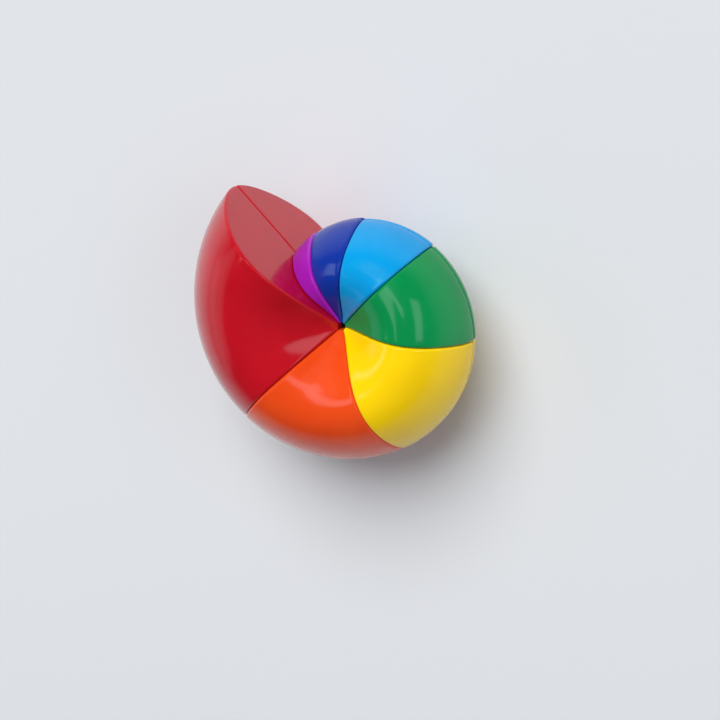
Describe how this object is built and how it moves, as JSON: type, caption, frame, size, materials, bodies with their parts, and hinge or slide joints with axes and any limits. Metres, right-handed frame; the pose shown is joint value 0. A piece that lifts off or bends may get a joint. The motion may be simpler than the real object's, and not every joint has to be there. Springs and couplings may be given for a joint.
{
  "type": "shell-shaped twisty puzzle",
  "caption": "Twisty puzzle in the shape of a coiled sea shell: coloured wedges in a front and a back layer round a split core; layers twist, half turns over.",
  "frame": {"origin": "middle of the underside of the object's box, as it lies on its back layer", "axes": "+Z along the main axis, from the back layer to the front layer; the mouth's flat plane stands at 135 degrees from +X and faces +X +Y"},
  "size_m": [0.1012, 0.0944, 0.0669],
  "materials": {
    "red": "polished, moulded in colour",
    "orange": "polished, moulded in colour",
    "yellow": "polished, moulded in colour",
    "green": "polished, moulded in colour",
    "light_blue": "polished, moulded in colour",
    "dark_blue": "polished, moulded in colour",
    "violet": "polished, moulded in colour",
    "core_black": "satin black",
    "steel": "plated"
  },
  "bodies": {
    "core_staying": {"core_half_fixed": "core_black", "flip_screw": "steel", "flip_spring": "steel", "flip_washer": "steel"},
    "core_turning_over": {"core_half_turning": "core_black"},
    "front_staying": {"red_front_shell": "red", "red_front_base": "red", "light_blue_front_shell": "light_blue", "light_blue_front_base": "light_blue", "dark_blue_front_shell": "dark_blue", "dark_blue_front_base": "dark_blue", "violet_front_shell": "violet", "violet_front_base": "violet"},
    "front_turning_over": {"orange_front_shell": "orange", "orange_front_base": "orange", "yellow_front_shell": "yellow", "yellow_front_base": "yellow", "green_front_shell": "green", "green_front_base": "green"},
    "back_staying": {"red_back_shell": "red", "red_back_base": "red", "light_blue_back_shell": "light_blue", "light_blue_back_base": "light_blue", "dark_blue_back_shell": "dark_blue", "dark_blue_back_base": "dark_blue", "violet_back_shell": "violet", "violet_back_base": "violet"},
    "back_turning_over": {"orange_back_shell": "orange", "orange_back_base": "orange", "yellow_back_shell": "yellow", "yellow_back_base": "yellow", "green_back_shell": "green", "green_back_base": "green"}
  },
  "joints": [
    {"name": "half_flip", "type": "hinge", "parent": "core_staying", "child": "core_turning_over", "pos_m": [0.00775, 0.00332, 0.03343], "axis": [0.7071, -0.7071, 0], "range_deg": [-180, 180]},
    {"name": "layer_twist", "type": "hinge", "parent": "core_staying", "child": "front_staying", "pos_m": [0.00775, 0.00332, 0.03343], "axis": [0, 0, 1], "continuous": true},
    {"name": "front_over_twist", "type": "hinge", "parent": "core_turning_over", "child": "front_turning_over", "pos_m": [0.00775, 0.00332, 0.03343], "axis": [0, 0, 1], "continuous": true},
    {"name": "back_twist", "type": "hinge", "parent": "core_staying", "child": "back_staying", "pos_m": [0.00775, 0.00332, 0.03343], "axis": [0, 0, 1], "continuous": true},
    {"name": "back_over_twist", "type": "hinge", "parent": "core_turning_over", "child": "back_turning_over", "pos_m": [0.00775, 0.00332, 0.03343], "axis": [0, 0, 1], "continuous": true}
  ],
  "couplings": [
    {"joint": "front_over_twist", "follows": "layer_twist", "ratio": 1},
    {"joint": "back_twist", "follows": "layer_twist", "ratio": -1},
    {"joint": "back_over_twist", "follows": "layer_twist", "ratio": -1}
  ]
}
